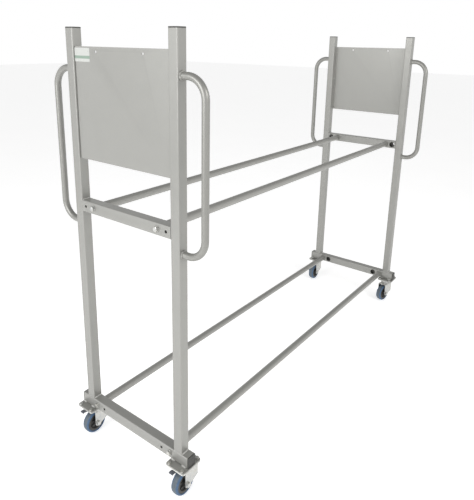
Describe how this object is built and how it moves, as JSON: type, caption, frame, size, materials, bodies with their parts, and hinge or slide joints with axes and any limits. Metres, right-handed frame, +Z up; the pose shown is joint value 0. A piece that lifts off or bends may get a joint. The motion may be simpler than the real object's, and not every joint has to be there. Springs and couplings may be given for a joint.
{
  "type": "tyre storage rack",
  "caption": "Mobile two-level rack: welded end frames with panels and side handles, joined by bolted round rails that hold tyres upright, on swivel castors.",
  "frame": {"origin": "on the floor, at the middle of the rack's outline", "axes": "+X along the rails towards the rear end, +Y towards the rack's left side, +Z up"},
  "size_m": [2.116, 0.749, 1.69],
  "materials": {
    "silver_paint": "silver-grey powder coat, semi-gloss",
    "black_plastic": "moulded black plastic, fine grain",
    "zinc": "bright zinc plate",
    "hub_plastic": "moulded black nylon",
    "blue_rubber": "blue elastic rubber with a scuffed grey tread",
    "pedal_paint": "dark painted pressed steel",
    "label": "blank self-adhesive film"
  },
  "bodies": {
    "frame": {"front_base_beam": "silver_paint", "front_mid_beam": "silver_paint", "front_end_panel": "silver_paint", "front_left_upright": "silver_paint", "front_left_top_cap": "black_plastic", "front_left_base_cap": "black_plastic", "front_left_handle": "silver_paint", "front_left_lower_rail_bolt": "zinc", "front_left_upper_rail_bolt": "zinc", "front_left_castor_pad": "silver_paint", "front_left_castor_plate": "zinc", "front_right_upright": "silver_paint", "front_right_top_cap": "black_plastic", "front_right_base_cap": "black_plastic", "front_right_handle": "silver_paint", "front_right_lower_rail_bolt": "zinc", "front_right_upper_rail_bolt": "zinc", "front_right_castor_pad": "silver_paint", "front_right_castor_plate": "zinc", "rear_base_beam": "silver_paint", "rear_mid_beam": "silver_paint", "rear_end_panel": "silver_paint", "rear_left_upright": "silver_paint", "rear_left_top_cap": "black_plastic", "rear_left_base_cap": "black_plastic", "rear_left_handle": "silver_paint", "rear_left_lower_rail_bolt": "zinc", "rear_left_upper_rail_bolt": "zinc", "rear_left_castor_pad": "silver_paint", "rear_left_castor_plate": "zinc", "rear_right_upright": "silver_paint", "rear_right_top_cap": "black_plastic", "rear_right_base_cap": "black_plastic", "rear_right_handle": "silver_paint", "rear_right_lower_rail_bolt": "zinc", "rear_right_upper_rail_bolt": "zinc", "rear_right_castor_pad": "silver_paint", "rear_right_castor_plate": "zinc", "lower_left_rail": "silver_paint", "upper_left_rail": "silver_paint", "lower_right_rail": "silver_paint", "upper_right_rail": "silver_paint"},
    "front_left_castor": {"front_left_castor_fork": "zinc", "front_left_axle_bolt": "zinc"},
    "front_left_wheel": {"front_left_wheel_hub": "hub_plastic", "front_left_wheel_tyre": "blue_rubber"},
    "front_left_brake": {"front_left_brake_pedal": "pedal_paint"},
    "front_right_castor": {"front_right_castor_fork": "zinc", "front_right_axle_bolt": "zinc"},
    "front_right_wheel": {"front_right_wheel_hub": "hub_plastic", "front_right_wheel_tyre": "blue_rubber"},
    "front_right_brake": {"front_right_brake_pedal": "pedal_paint"},
    "rear_left_castor": {"rear_left_castor_fork": "zinc", "rear_left_axle_bolt": "zinc"},
    "rear_left_wheel": {"rear_left_wheel_hub": "hub_plastic", "rear_left_wheel_tyre": "blue_rubber"},
    "rear_right_castor": {"rear_right_castor_fork": "zinc", "rear_right_axle_bolt": "zinc"},
    "rear_right_wheel": {"rear_right_wheel_hub": "hub_plastic", "rear_right_wheel_tyre": "blue_rubber"}
  },
  "joints": [
    {"name": "front_left_swivel", "type": "hinge", "parent": "frame", "child": "front_left_castor", "pos_m": [-0.98, 0.26, 0.12], "axis": [0, 0, 1], "continuous": true},
    {"name": "front_left_wheel_spin", "type": "hinge", "parent": "front_left_castor", "child": "front_left_wheel", "pos_m": [-1.006, 0.26, 0.05], "axis": [0, 1, 0], "continuous": true},
    {"name": "front_left_brake_press", "type": "hinge", "parent": "front_left_castor", "child": "front_left_brake", "pos_m": [-1.01, 0.26, 0.1054], "axis": [0, -1, 0], "range_deg": [0, 12]},
    {"name": "front_right_swivel", "type": "hinge", "parent": "frame", "child": "front_right_castor", "pos_m": [-0.98, -0.26, 0.12], "axis": [0, 0, 1], "continuous": true},
    {"name": "front_right_wheel_spin", "type": "hinge", "parent": "front_right_castor", "child": "front_right_wheel", "pos_m": [-1.006, -0.26, 0.05], "axis": [0, 1, 0], "continuous": true},
    {"name": "front_right_brake_press", "type": "hinge", "parent": "front_right_castor", "child": "front_right_brake", "pos_m": [-1.01, -0.26, 0.1054], "axis": [0, -1, 0], "range_deg": [0, 12]},
    {"name": "rear_left_swivel", "type": "hinge", "parent": "frame", "child": "rear_left_castor", "pos_m": [0.986, 0.26, 0.12], "axis": [0, 0, 1], "continuous": true},
    {"name": "rear_left_wheel_spin", "type": "hinge", "parent": "rear_left_castor", "child": "rear_left_wheel", "pos_m": [0.96, 0.26, 0.05], "axis": [0, 1, 0], "continuous": true},
    {"name": "rear_right_swivel", "type": "hinge", "parent": "frame", "child": "rear_right_castor", "pos_m": [0.986, -0.26, 0.12], "axis": [0, 0, 1], "continuous": true},
    {"name": "rear_right_wheel_spin", "type": "hinge", "parent": "rear_right_castor", "child": "rear_right_wheel", "pos_m": [0.96057, -0.25459, 0.05], "axis": [0.2079, 0.9781, 0], "continuous": true}
  ]
}
